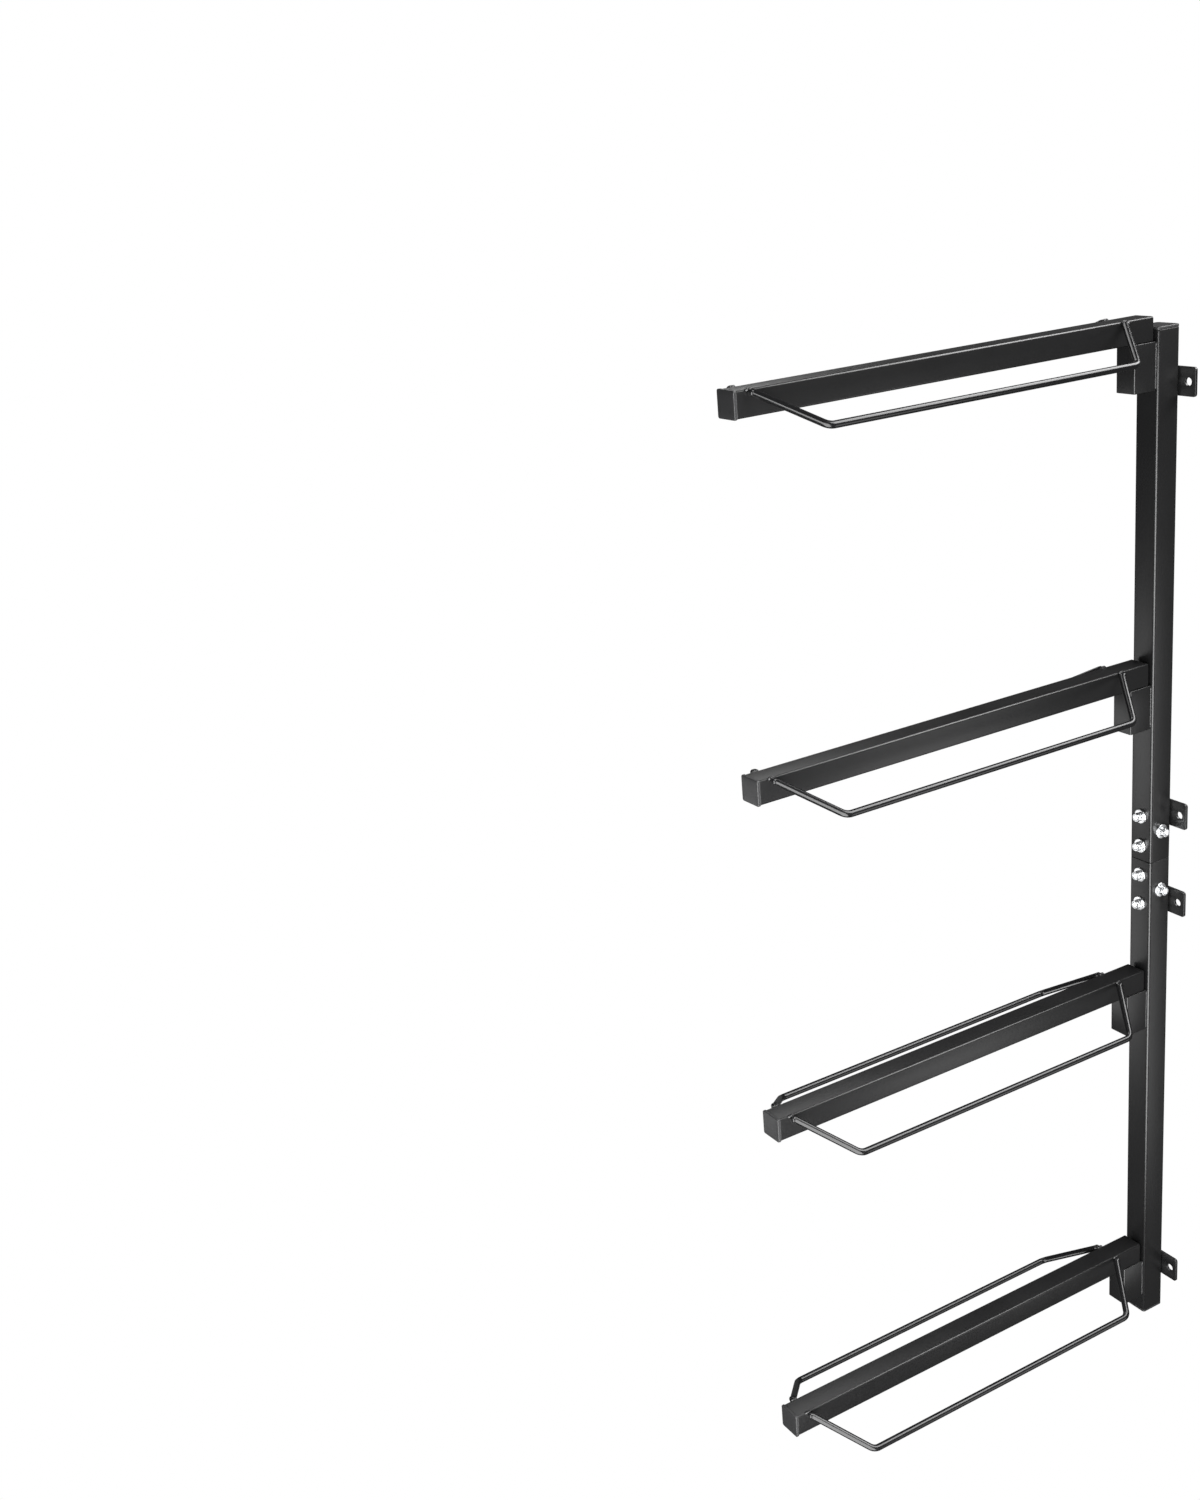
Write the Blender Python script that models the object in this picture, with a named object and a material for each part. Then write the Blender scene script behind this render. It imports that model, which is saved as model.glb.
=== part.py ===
"""Four-arm wall saddle rack: bolted square-tube post, welded arms with rod wings, wall plates.

Frame: metres, +Z up. The wall is the plane Y = 0 and the arms reach along -Y.
The origin is the centre of the back face of the topmost wall plate.
"""
from math import cos, pi, radians, sin, tan

import bmesh
import bpy
from mathutils import Euler, Matrix, Vector

# Finishes as (base colour, roughness, metallic).
COAT = ((0.012, 0.012, 0.013), 0.42, 0.0)
ROD_COAT = ((0.010, 0.010, 0.011), 0.30, 0.0)
PLASTIC = ((0.020, 0.020, 0.021), 0.55, 0.0)
ZINC = ((0.62, 0.63, 0.65), 0.32, 1.0)

# Gap between pieces that touch or fit together.
CLEARANCE = 0.0003

# Post: two square tubes of one section, one above the other, each length with its end cap.
POST_WIDTH = 0.030
POST_WALL = 0.0015
POST_CORNER = 0.0025
UPPER_LENGTH = 0.582
LOWER_LENGTH = 0.590

# Sleeve inside both halves, held by screws from the front and from the right side.
SLEEVE_LENGTH = 0.150
SLEEVE_WALL = 0.0015
FRONT_BOLT_OFFSETS = (0.0523, 0.0174, -0.0174, -0.0523)
SIDE_BOLT_OFFSETS = (0.0350, -0.0350)

# Wall plates: flat strips behind the post with a screw hole in each ear.
PLATE_WIDTH = 0.072
PLATE_HEIGHT = 0.030
PLATE_THICKNESS = 0.003
PLATE_CORNER = 0.003
PLATE_END_INSET = 0.058
PLATE_JOINT_OFFSET = 0.0523
PLATE_HOLE_SPACING = 0.053
PLATE_HOLE_DIAMETER = 0.0085

# Arms: square tubes standing on short box stubs.
ARM_COUNT = 4
ARM_WIDTH = 0.025
ARM_WALL = 0.0015
ARM_CORNER = 0.0015
ARM_REACH = 0.514
ARM_ROOT_GAP = 0.005
TOP_ARM_RISE = 0.0108
BOTTOM_ARM_HEIGHT = 0.0980
STUB_WIDTH = 0.025
STUB_DEPTH = 0.030
STUB_HEIGHT = 0.049
STUB_WALL = 0.0015
STUB_CORNER = 0.0015

# Moulded plugs that close the tube ends.
CAP_FLANGE = 0.0035
CAP_PROUD = 0.0006
CAP_BEVEL = 0.0006
PLUG_DEPTH = 0.012
PLUG_WALL = 0.0015
PLUG_TAPER = 0.0004

# Rod wings beside each arm.
ROD_DIAMETER = 0.007
WING_HALF_SPREAD = 0.068
WING_DROP = 0.0335
WING_TIP_SETBACK = 0.061
WING_ROOT_SETBACK = 0.0835
FOOT_TIP_SETBACK = 0.0185
FOOT_ROOT_SETBACK = 0.0475
FOOT_LENGTH = 0.004
FOOT_RISE = 0.0006
WING_BEND = 0.011
FOOT_BEND = 0.0035

# Screws, washers and weld nuts of the joint.
SHANK_DIAMETER = 0.006
SHANK_LENGTH = 0.014
SHANK_CHAMFER = 0.0006
HEAD_DIAMETER = 0.010
HEAD_HEIGHT = 0.006
HEAD_CHAMFER = 0.0006
SOCKET_FLATS = 0.005
SOCKET_DEPTH = 0.003
WASHER_DIAMETER = 0.016
WASHER_THICKNESS = 0.0016
WASHER_EDGE = 0.0003
NUT_FLATS = 0.010
NUT_THICKNESS = 0.005
NUT_CHAMFER = 0.0006
BOLT_HOLE_DIAMETER = 0.007

CORNER_STEPS = 3
ROUND_STEPS = 18
ROD_STEPS = 10
BEND_STEPS = 6
FOOT_STEPS = 3
HEX_SIDES = 6
SHARP_ANGLE = radians(30)

POST_TOP = PLATE_END_INSET
JOINT_Z = POST_TOP - UPPER_LENGTH
POST_BOTTOM = JOINT_Z - LOWER_LENGTH
POST_BACK = -PLATE_THICKNESS - CLEARANCE
POST_FRONT = POST_BACK - POST_WIDTH
POST_CENTRE = (POST_BACK + POST_FRONT) / 2
POST_BORE = POST_WIDTH - 2 * POST_WALL
SLEEVE_WIDTH = POST_BORE - 2 * CLEARANCE
ARM_BORE = ARM_WIDTH - 2 * ARM_WALL
ARM_TIP = POST_FRONT - ARM_REACH
ARM_ROOT = POST_FRONT - ARM_ROOT_GAP
ARM_PITCH = (POST_TOP + TOP_ARM_RISE - POST_BOTTOM - BOTTOM_ARM_HEIGHT) / (ARM_COUNT - 1)
PLATE_HEIGHTS = (
    POST_TOP - PLATE_END_INSET,
    JOINT_Z + PLATE_JOINT_OFFSET,
    JOINT_Z - PLATE_JOINT_OFFSET,
    POST_BOTTOM + PLATE_END_INSET,
)

FACING_FRONT = Euler((radians(90), 0, 0))
FACING_RIGHT = Euler((0, radians(90), 0))
FACING_DOWN = Euler((radians(180), 0, 0))
UPRIGHT = Euler((0, 0, 0))


def clear_scene():
    for item in list(bpy.data.objects):
        bpy.data.objects.remove(item, do_unlink=True)


def make_material(name, colour, roughness, metallic):
    material = bpy.data.materials.new(name)
    material.use_nodes = True
    shader = material.node_tree.nodes["Principled BSDF"]
    shader.inputs["Base Color"].default_value = (*colour, 1)
    shader.inputs["Roughness"].default_value = roughness
    shader.inputs["Metallic"].default_value = metallic
    return material


def place(name, mesh, look, location=(0, 0, 0), rotation=UPRIGHT):
    item = bpy.data.objects.new(name, mesh)
    item.location = location
    item.rotation_euler = rotation
    mesh.materials.append(make_material(name + "_finish", *look))
    bpy.context.scene.collection.objects.link(item)
    return item


def square_loop(width, depth, corner, height):
    """Corner-rounded rectangle at one height, counter-clockwise seen from +Z."""
    points = []
    for quarter in range(4):
        middle = pi / 4 + quarter * pi / 2
        side_x = 1 if cos(middle) > 0 else -1
        side_y = 1 if sin(middle) > 0 else -1
        centre = Vector((side_x * (width / 2 - corner), side_y * (depth / 2 - corner), height))
        for step in range(CORNER_STEPS + 1):
            angle = quarter * pi / 2 + step * pi / 2 / CORNER_STEPS
            points.append(centre + corner * Vector((cos(angle), sin(angle), 0)))
    return points


def round_loop(diameter, height):
    angles = [2 * pi * step / ROUND_STEPS for step in range(ROUND_STEPS)]
    return [Vector((diameter / 2 * cos(a), diameter / 2 * sin(a), height)) for a in angles]


def hex_loop(flats, height):
    """Hexagon drawn with as many points as round_loop, so that the two can be joined."""
    sector = 2 * pi / HEX_SIDES
    points = []
    for step in range(ROUND_STEPS):
        angle = 2 * pi * step / ROUND_STEPS
        reach = flats / 2 / cos(angle % sector - sector / 2)
        points.append(Vector((reach * cos(angle), reach * sin(angle), height)))
    return points


def loft(name, loops, ring=False):
    """Skin a run of loops. A ring joins its last loop to its first; otherwise both ends are filled."""
    shape = bmesh.new()
    rows = [[shape.verts.new(point) for point in loop] for loop in loops]
    pairs = list(zip(rows, rows[1:]))
    if ring:
        pairs.append((rows[-1], rows[0]))
    else:
        shape.faces.new(rows[0])
        shape.faces.new(rows[-1])
    for low, high in pairs:
        for this in range(len(low)):
            after = (this + 1) % len(low)
            shape.faces.new((low[this], low[after], high[after], high[this]))
    bmesh.ops.recalc_face_normals(shape, faces=shape.faces)
    mesh = bpy.data.meshes.new(name)
    shape.to_mesh(mesh)
    shape.free()
    mesh.shade_smooth()
    mesh.set_sharp_from_angle(angle=SHARP_ANGLE)
    return mesh


def tube_mesh(name, width, depth, wall, corner, length):
    """Square tube along Z, from 0 up to its length."""
    inner = (width - 2 * wall, depth - 2 * wall, max(corner - wall, corner / 3))
    loops = [
        square_loop(width, depth, corner, 0),
        square_loop(width, depth, corner, length),
        square_loop(*inner, length),
        square_loop(*inner, 0),
    ]
    return loft(name, loops, ring=True)


def plug_mesh(name, width, bore, corner, proud):
    """End plug along Z: a flange above 0 and an open-ended skirt below it."""
    flange = width + 2 * proud
    face = flange - 2 * CAP_BEVEL
    skirt = bore - 2 * CLEARANCE
    skirt_end = skirt - 2 * PLUG_TAPER
    hollow = skirt_end - 2 * PLUG_WALL
    small = corner / 2
    loops = [
        square_loop(face, face, corner, CAP_FLANGE),
        square_loop(flange, flange, corner, CAP_FLANGE - CAP_BEVEL),
        square_loop(flange, flange, corner, CLEARANCE),
        square_loop(skirt, skirt, small, CLEARANCE),
        square_loop(skirt, skirt, small, PLUG_TAPER - PLUG_DEPTH),
        square_loop(skirt_end, skirt_end, small, -PLUG_DEPTH),
        square_loop(hollow, hollow, small, -PLUG_DEPTH),
        square_loop(hollow, hollow, small, CLEARANCE),
    ]
    return loft(name, loops)


def screw_mesh(name):
    """Socket-head cap screw: the head stands above 0 and the shank hangs below."""
    crown = HEAD_DIAMETER - 2 * HEAD_CHAMFER
    tip = SHANK_DIAMETER - 2 * SHANK_CHAMFER
    loops = [
        hex_loop(SOCKET_FLATS, HEAD_HEIGHT - SOCKET_DEPTH),
        hex_loop(SOCKET_FLATS, HEAD_HEIGHT),
        round_loop(crown, HEAD_HEIGHT),
        round_loop(HEAD_DIAMETER, HEAD_HEIGHT - HEAD_CHAMFER),
        round_loop(HEAD_DIAMETER, 0),
        round_loop(SHANK_DIAMETER, 0),
        round_loop(SHANK_DIAMETER, SHANK_CHAMFER - SHANK_LENGTH),
        round_loop(tip, -SHANK_LENGTH),
    ]
    return loft(name, loops)


def washer_mesh(name):
    bore = SHANK_DIAMETER + 2 * CLEARANCE
    rim = WASHER_DIAMETER - 2 * WASHER_EDGE
    loops = [
        round_loop(WASHER_DIAMETER, 0),
        round_loop(WASHER_DIAMETER, WASHER_THICKNESS - WASHER_EDGE),
        round_loop(rim, WASHER_THICKNESS),
        round_loop(bore, WASHER_THICKNESS),
        round_loop(bore, 0),
    ]
    return loft(name, loops, ring=True)


def nut_mesh(name):
    """Hexagon weld nut hanging below 0, with its inner face chamfered."""
    bore = SHANK_DIAMETER + 2 * CLEARANCE
    loops = [
        hex_loop(NUT_FLATS, 0),
        hex_loop(NUT_FLATS, NUT_CHAMFER - NUT_THICKNESS),
        round_loop(NUT_FLATS - NUT_CHAMFER, -NUT_THICKNESS),
        round_loop(bore, -NUT_THICKNESS),
        round_loop(bore, 0),
    ]
    return loft(name, loops, ring=True)


def fillet(path, radii, steps):
    """Replace each inner corner of a path by an arc."""
    points = [path[0]]
    for before, corner, after, radius, count in zip(path, path[1:], path[2:], radii, steps):
        toward_before = (before - corner).normalized()
        toward_after = (after - corner).normalized()
        opening = toward_before.angle(toward_after)
        start = corner + toward_before * radius / tan(opening / 2)
        bisector = (toward_before + toward_after).normalized()
        centre = corner + bisector * radius / sin(opening / 2)
        axis = toward_after.cross(toward_before)
        for step in range(count + 1):
            turn = Matrix.Rotation((pi - opening) * step / count, 3, axis)
            points.append(centre + turn @ (start - centre))
    points.append(path[-1])
    return points


def rod_mesh(name, path, diameter):
    """Round bar swept along a path, closed at both ends."""
    tangents = []
    for index in range(len(path)):
        ahead = path[min(index + 1, len(path) - 1)]
        behind = path[max(index - 1, 0)]
        tangents.append((ahead - behind).normalized())
    normal = tangents[0].orthogonal().normalized()
    loops = []
    for centre, tangent in zip(path, tangents):
        normal = (normal - normal.dot(tangent) * tangent).normalized()
        other = tangent.cross(normal)
        angles = [2 * pi * step / ROD_STEPS for step in range(ROD_STEPS)]
        loops.append([centre + diameter / 2 * (cos(a) * normal + sin(a) * other) for a in angles])
    return loft(name, loops)


def cut(item, name, meshes):
    """Subtract hidden cutters from an object."""
    for number, (mesh, location, rotation) in enumerate(meshes, 1):
        cutter = bpy.data.objects.new(f"{name}_{number}", mesh)
        cutter.location = location
        cutter.rotation_euler = rotation
        cutter.hide_render = True
        cutter.display_type = "WIRE"
        bpy.context.scene.collection.objects.link(cutter)
        modifier = item.modifiers.new(cutter.name, "BOOLEAN")
        modifier.operation = "DIFFERENCE"
        modifier.solver = "EXACT"
        modifier.object = cutter


def bolt_stations():
    """Name, surface point and facing of every joint screw."""
    stations = []
    for number, offset in enumerate(FRONT_BOLT_OFFSETS, 1):
        point = Vector((0, POST_FRONT, JOINT_Z + offset))
        stations.append((f"front_{number}", point, FACING_FRONT))
    for number, offset in enumerate(SIDE_BOLT_OFFSETS, 1):
        point = Vector((POST_WIDTH / 2, POST_CENTRE, JOINT_Z + offset))
        stations.append((f"side_{number}", point, FACING_RIGHT))
    return stations


def outward(facing):
    return facing.to_matrix() @ Vector((0, 0, 1))


def bolt_hole_cutters(lowest, highest):
    """Cutters for the screw holes between two heights, long enough for the post and sleeve walls."""
    depth = POST_WALL + SLEEVE_WALL + NUT_THICKNESS
    ends = [round_loop(BOLT_HOLE_DIAMETER, -depth), round_loop(BOLT_HOLE_DIAMETER, WASHER_DIAMETER)]
    mesh = loft("bolt_hole", ends)
    return [(mesh, point, facing) for _, point, facing in bolt_stations() if lowest < point.z < highest]


def build_post():
    halves = (
        ("post_upper", JOINT_Z + CLEARANCE / 2, POST_TOP - CAP_FLANGE),
        ("post_lower", POST_BOTTOM + CAP_FLANGE, JOINT_Z - CLEARANCE / 2),
    )
    for name, foot, head in halves:
        mesh = tube_mesh(name, POST_WIDTH, POST_WIDTH, POST_WALL, POST_CORNER, head - foot)
        half = place(name, mesh, COAT, (0, POST_CENTRE, foot))
        cut(half, name + "_hole", bolt_hole_cutters(foot, head))


def build_sleeve():
    foot = JOINT_Z - SLEEVE_LENGTH / 2
    corner = POST_CORNER - POST_WALL
    mesh = tube_mesh("joint_sleeve", SLEEVE_WIDTH, SLEEVE_WIDTH, SLEEVE_WALL, corner, SLEEVE_LENGTH)
    sleeve = place("joint_sleeve", mesh, COAT, (0, POST_CENTRE, foot))
    cut(sleeve, "joint_sleeve_hole", bolt_hole_cutters(foot, foot + SLEEVE_LENGTH))


def build_post_caps():
    ends = (
        ("post_cap_top", POST_TOP - CAP_FLANGE, UPRIGHT),
        ("post_cap_bottom", POST_BOTTOM + CAP_FLANGE, FACING_DOWN),
    )
    for name, height, facing in ends:
        mesh = plug_mesh(name, POST_WIDTH, POST_BORE, POST_CORNER, 0)
        place(name, mesh, PLASTIC, (0, POST_CENTRE, height), facing)


def build_joint_hardware():
    nut_depth = POST_WALL + CLEARANCE + SLEEVE_WALL + CLEARANCE
    for label, point, facing in bolt_stations():
        axis = outward(facing)
        washer_seat = point + axis * CLEARANCE
        head_seat = washer_seat + axis * (WASHER_THICKNESS + CLEARANCE)
        place("joint_washer_" + label, washer_mesh("washer"), ZINC, washer_seat, facing)
        place("joint_bolt_" + label, screw_mesh("bolt"), ZINC, head_seat, facing)
        place("joint_nut_" + label, nut_mesh("nut"), ZINC, point - axis * nut_depth, facing)


def build_wall_plates():
    outline = (PLATE_WIDTH, PLATE_HEIGHT, PLATE_CORNER)
    ends = (-PLATE_THICKNESS, 2 * PLATE_THICKNESS)
    hole = loft("plate_hole", [round_loop(PLATE_HOLE_DIAMETER, end) for end in ends])
    for number, height in enumerate(PLATE_HEIGHTS, 1):
        name = f"wall_plate_{number}"
        mesh = loft(name, [square_loop(*outline, 0), square_loop(*outline, PLATE_THICKNESS)])
        plate = place(name, mesh, COAT, (0, 0, height), FACING_FRONT)
        holes = [(hole, (side * PLATE_HOLE_SPACING / 2, 0, height), FACING_FRONT) for side in (-1, 1)]
        cut(plate, name + "_hole", holes)


def wing_path(side, top):
    """Centreline of one wing, from the foot near the tip to the foot near the post."""
    beside_arm = side * (ARM_WIDTH / 2 + CLEARANCE + ROD_DIAMETER / 2)
    foot_z = top + FOOT_RISE - ROD_DIAMETER / 2
    outer = side * WING_HALF_SPREAD
    wing_z = top - WING_DROP
    tip_foot = ARM_TIP + FOOT_TIP_SETBACK
    root_foot = POST_FRONT - FOOT_ROOT_SETBACK
    corners = [
        Vector((beside_arm, tip_foot - FOOT_LENGTH, foot_z)),
        Vector((beside_arm, tip_foot, foot_z)),
        Vector((outer, ARM_TIP + WING_TIP_SETBACK, wing_z)),
        Vector((outer, POST_FRONT - WING_ROOT_SETBACK, wing_z)),
        Vector((beside_arm, root_foot, foot_z)),
        Vector((beside_arm, root_foot + FOOT_LENGTH, foot_z)),
    ]
    radii = (FOOT_BEND, WING_BEND, WING_BEND, FOOT_BEND)
    steps = (FOOT_STEPS, BEND_STEPS, BEND_STEPS, FOOT_STEPS)
    return fillet(corners, radii, steps)


def build_arm(number, top):
    middle = top - ARM_WIDTH / 2
    length = ARM_ROOT - ARM_TIP - CAP_FLANGE
    mesh = tube_mesh("arm_tube", ARM_WIDTH, ARM_WIDTH, ARM_WALL, ARM_CORNER, length)
    place(f"arm_tube_{number}", mesh, COAT, (0, ARM_ROOT, middle), FACING_FRONT)
    plug = plug_mesh("arm_cap", ARM_WIDTH, ARM_BORE, ARM_CORNER, CAP_PROUD)
    place(f"arm_cap_{number}", plug, PLASTIC, (0, ARM_TIP + CAP_FLANGE, middle), FACING_FRONT)
    stub = tube_mesh("arm_stub", STUB_WIDTH, STUB_DEPTH, STUB_WALL, STUB_CORNER, STUB_HEIGHT)
    stub_top = top - ARM_WIDTH - CLEARANCE
    stub_y = POST_FRONT - CLEARANCE - STUB_DEPTH / 2
    place(f"arm_stub_{number}", stub, COAT, (0, stub_y, stub_top - STUB_HEIGHT))
    for label, side in (("left", -1), ("right", 1)):
        rod = rod_mesh("rod", wing_path(side, top), ROD_DIAMETER)
        place(f"wing_rod_{label}_{number}", rod, ROD_COAT)


def build_rack():
    clear_scene()
    build_post()
    build_sleeve()
    build_post_caps()
    build_joint_hardware()
    build_wall_plates()
    for index in range(ARM_COUNT):
        build_arm(index + 1, POST_TOP + TOP_ARM_RISE - index * ARM_PITCH)


build_rack()
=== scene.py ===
# %% [markdown]
# A wall rack for saddles. A square steel post in two bolted halves carries four square arms.
# Beside each arm run two bent rods, the wings, which spread under a saddle's panels.
# The solid model gives every place and size. This script makes the surfaces that are seen:
# rounded edges, weld beads, screw heads, powder coat, moulded plastic and zinc plate.

from math import cos, pi, radians, sin, tan

import bmesh
import bpy
from mathutils import Matrix, Vector, noise


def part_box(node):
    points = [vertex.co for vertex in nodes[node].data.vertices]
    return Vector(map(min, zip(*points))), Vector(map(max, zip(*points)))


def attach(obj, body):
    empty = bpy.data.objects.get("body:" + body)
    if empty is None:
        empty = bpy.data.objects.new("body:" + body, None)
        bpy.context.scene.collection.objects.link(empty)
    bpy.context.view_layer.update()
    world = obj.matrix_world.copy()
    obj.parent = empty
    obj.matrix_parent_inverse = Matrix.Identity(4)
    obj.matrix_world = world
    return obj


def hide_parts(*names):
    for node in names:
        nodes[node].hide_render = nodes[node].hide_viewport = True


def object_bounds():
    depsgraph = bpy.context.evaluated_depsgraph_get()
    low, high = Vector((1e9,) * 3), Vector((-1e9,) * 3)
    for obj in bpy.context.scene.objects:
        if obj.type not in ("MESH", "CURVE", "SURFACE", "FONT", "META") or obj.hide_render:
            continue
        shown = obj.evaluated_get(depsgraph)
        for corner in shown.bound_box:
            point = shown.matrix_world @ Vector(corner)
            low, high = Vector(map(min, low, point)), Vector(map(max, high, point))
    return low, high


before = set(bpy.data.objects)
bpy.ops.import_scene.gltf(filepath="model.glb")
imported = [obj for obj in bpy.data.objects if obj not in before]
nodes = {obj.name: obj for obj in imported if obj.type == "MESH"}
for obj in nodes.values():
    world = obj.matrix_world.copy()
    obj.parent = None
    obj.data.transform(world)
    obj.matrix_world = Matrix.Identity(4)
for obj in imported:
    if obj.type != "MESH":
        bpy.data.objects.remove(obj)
cad_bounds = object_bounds()
print(f"{len(nodes)} solids, box {[round(c, 3) for corner in cad_bounds for c in corner]}")

# %% [markdown]
# The camera comes first, because every later choice is judged through it. It stands in front
# of the rack and to its right, a little above the top arm, looks down on the arms, and is
# tipped slightly, so that the post leans in the frame. Turning three plain angles into one
# matrix keeps each angle readable: heading, then tilt, then roll.

# %% Camera
CAMERA_PLACE = (1.3254, -1.438, 0.3029)
CAMERA_LENS = 43.5
HEADING = radians(60.99)
TILT_DOWN = radians(19.2)
ROLL = radians(-5.2)

camera_data = bpy.data.cameras.new("camera")
camera_data.lens = CAMERA_LENS
camera = bpy.data.objects.new("camera", camera_data)
camera.matrix_world = (
    Matrix.Translation(CAMERA_PLACE)
    @ Matrix.Rotation(HEADING, 4, "Z")
    @ Matrix.Rotation(pi / 2 - TILT_DOWN, 4, "X")
    @ Matrix.Rotation(ROLL, 4, "Z")
)
bpy.context.scene.collection.objects.link(camera)
bpy.context.scene.camera = camera
print("camera", [round(c, 3) for c in camera.location], "lens", CAMERA_LENS)

# %% [markdown]
# A black object is drawn by what it reflects. Big soft panels give the long grey gradients on
# flat faces, and the thin lines of light on rounded edges and rods. Each panel hangs where one
# kind of surface mirrors it towards the camera. A wide one above and behind draws the arms'
# top edges and the rods, a tall one on the camera's side draws the post's near corner, and
# three smaller ones give the flat faces their gradients.

# %% Soft light panels
RACK_CENTRE = (Vector(cad_bounds[0]) + Vector(cad_bounds[1])) / 2


def light_panel(name, direction, distance, width, length, glow):
    """A soft rectangle that faces the rack's centre. Its power follows from its glow and area."""
    data = bpy.data.lights.new(name, "AREA")
    data.shape = "RECTANGLE"
    data.size = width
    data.size_y = length
    data.energy = glow * pi * width * length
    panel = bpy.data.objects.new(name, data)
    aim = Vector(direction).normalized()
    panel.location = RACK_CENTRE + aim * distance
    panel.rotation_euler = aim.to_track_quat("Z", "Y").to_euler()
    panel.visible_camera = False
    bpy.context.scene.collection.objects.link(panel)
    return panel


# Each line: name, direction from the rack, distance, width, length, glow.
panels = [
    light_panel("panel_above", (0.34, 0.50, 0.80), 2.2, 2.2, 1.2, 15.0),
    light_panel("panel_corner", (0.66, -0.66, -0.16), 1.0, 0.9, 2.0, 13.5),
    light_panel("panel_sides", (0.75, 0.525, -0.38), 2.2, 0.8, 1.4, 2.5),
    light_panel("panel_front", (-0.71, -0.60, -0.38), 2.2, 0.9, 0.9, 2.4),
    light_panel("panel_tops", (-0.62, 0.13, 0.77), 2.4, 1.0, 0.9, 4.7),
]
print(f"{len(panels)} soft panels, the brightest glows at {max(p.data.energy for p in panels):.0f} W")

# %% [markdown]
# The room is plain: a pale floor well below the hanging rack, and a white surround. What the
# eye sees behind the rack is pure white, while what the rack mirrors is a dim room. A Light
# Path node keeps the two apart, both in the world and in the floor's material.

# %% Surround and floor
SURROUND_SEEN = 1.0
SURROUND_MIRRORED = 0.05
FLOOR_SEEN = 1.0
FLOOR_MIRRORED = 0.12
FLOOR_BELOW = 1.1
FLOOR_SIZE = 60.0


def seen_or_mirrored(tree, kind, seen, mirrored, output):
    """Two plain glows: one for the eye, one for reflections and soft bounced light."""
    tree.nodes.clear()
    leave = tree.nodes.new(output)
    chooser = tree.nodes.new("ShaderNodeMixShader")
    path = tree.nodes.new("ShaderNodeLightPath")
    tree.links.new(path.outputs["Is Camera Ray"], chooser.inputs["Fac"])
    for slot, strength in ((1, mirrored), (2, seen)):
        glow = tree.nodes.new(kind)
        glow.inputs["Color"].default_value = (1, 1, 1, 1)
        glow.inputs["Strength"].default_value = strength
        tree.links.new(glow.outputs[0], chooser.inputs[slot])
    tree.links.new(chooser.outputs["Shader"], leave.inputs["Surface"])


def build_surround():
    """The world: white to the eye, dim in reflections."""
    world = bpy.data.worlds.new("surround")
    world.use_nodes = True
    tree = world.node_tree
    seen_or_mirrored(tree, "ShaderNodeBackground", SURROUND_SEEN, SURROUND_MIRRORED, "ShaderNodeOutputWorld")
    bpy.context.scene.world = world


def build_floor():
    """A large square well below the rack, handed to the stage so that it is not part of it."""
    half = FLOOR_SIZE / 2
    height = cad_bounds[0][2] - FLOOR_BELOW
    corners = [(-half, -half), (half, -half), (half, half), (-half, half)]
    mesh = bpy.data.meshes.new("floor")
    mesh.from_pydata([(x, y, height) for x, y in corners], [], [(0, 1, 2, 3)])
    floor = bpy.data.objects.new("floor", mesh)
    bpy.context.scene.collection.objects.link(floor)
    pale = bpy.data.materials.new("floor_pale")
    pale.use_nodes = True
    tree = pale.node_tree
    seen_or_mirrored(tree, "ShaderNodeEmission", FLOOR_SEEN, FLOOR_MIRRORED, "ShaderNodeOutputMaterial")
    mesh.materials.append(pale)
    return floor


build_surround()
floor = build_floor()
bpy.context.scene.view_settings.view_transform = "Standard"
print("floor at", round(floor.data.vertices[0].co.z, 3))

# %% [markdown]
# The finishes share small-scale effects, so each effect is one node group with named inputs.
# "Coat skin" is the orange-peel ripple of sprayed and baked paint: a soft noise, given out as a
# height for a Bump node and as a mask for tiny changes of gloss. "Edge rub" marks where hands
# and straps polish the outer corners. It compares the true surface with a smoothed one through
# Geometry's Pointiness, which needs no painted map.

# %% Helpers for node groups and materials


def new_group(name, inputs, outputs):
    """An empty shader group with its sockets: names with default values in, names out."""
    group = bpy.data.node_groups.new(name, "ShaderNodeTree")
    for socket, value in inputs.items():
        made = group.interface.new_socket(socket, in_out="INPUT", socket_type="NodeSocketFloat")
        made.default_value = value
    for socket in outputs:
        group.interface.new_socket(socket, in_out="OUTPUT", socket_type="NodeSocketFloat")
    entry = group.nodes.new("NodeGroupInput")
    leave = group.nodes.new("NodeGroupOutput")
    return group, entry, leave


def add(tree, kind, **settings):
    """A node with some of its properties or unlinked inputs set by name."""
    node = tree.nodes.new(kind)
    for key, value in settings.items():
        if hasattr(node, key):
            setattr(node, key, value)
        else:
            node.inputs[key.replace("_", " ")].default_value = value
    return node


def math_node(tree, operation, first, second):
    """A Math node whose two inputs are sockets or numbers; returns its output."""
    node = tree.nodes.new("ShaderNodeMath")
    node.operation = operation
    for slot, value in enumerate((first, second)):
        if isinstance(value, bpy.types.NodeSocket):
            tree.links.new(value, node.inputs[slot])
        else:
            node.inputs[slot].default_value = value
    return node.outputs[0]


print("helpers ready:", new_group.__name__, add.__name__, math_node.__name__)


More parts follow.
